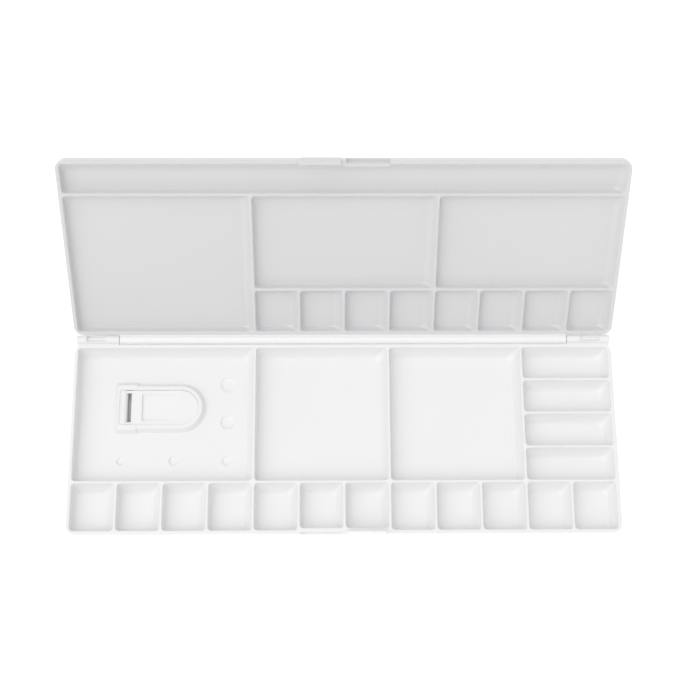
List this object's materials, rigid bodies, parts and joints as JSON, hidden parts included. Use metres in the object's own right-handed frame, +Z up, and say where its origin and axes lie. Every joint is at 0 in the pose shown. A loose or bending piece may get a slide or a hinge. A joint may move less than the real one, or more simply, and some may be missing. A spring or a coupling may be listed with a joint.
{
  "type": "mixing palette",
  "caption": "Folding paint-mixing palette: two shallow hinged trays of wells, with a brush trough and a flap over a thumb hole.",
  "frame": {"origin": "middle of the base tray's flat underside, on the surface that it stands on", "axes": "+X to the right along the hinge, +Y from the front edge to the hinge, +Z up"},
  "size_m": [0.29, 0.1774, 0.0937],
  "materials": {
    "tray": "white injection-moulded plastic, soft gloss",
    "flap": "white injection-moulded plastic, soft gloss",
    "pin": "white moulded plastic, satin"
  },
  "bodies": {
    "base": {"base_tray": "tray", "hinge_pin_left": "pin", "hinge_pin_right": "pin", "thumb_flap_pin": "pin"},
    "lid": {"lid_tray": "tray"},
    "flap": {"thumb_flap": "flap"}
  },
  "joints": [
    {"name": "lid_hinge", "type": "hinge", "parent": "base", "child": "lid", "pos_m": [0, 0.0542, 0.01015], "axis": [1, 0, 0], "range_deg": [-51, 130]},
    {"name": "flap_hinge", "type": "hinge", "parent": "base", "child": "flap", "pos_m": [-0.1181, 0.0177, 0.0034], "axis": [0, 1, 0], "range_deg": [0, 95]}
  ]
}
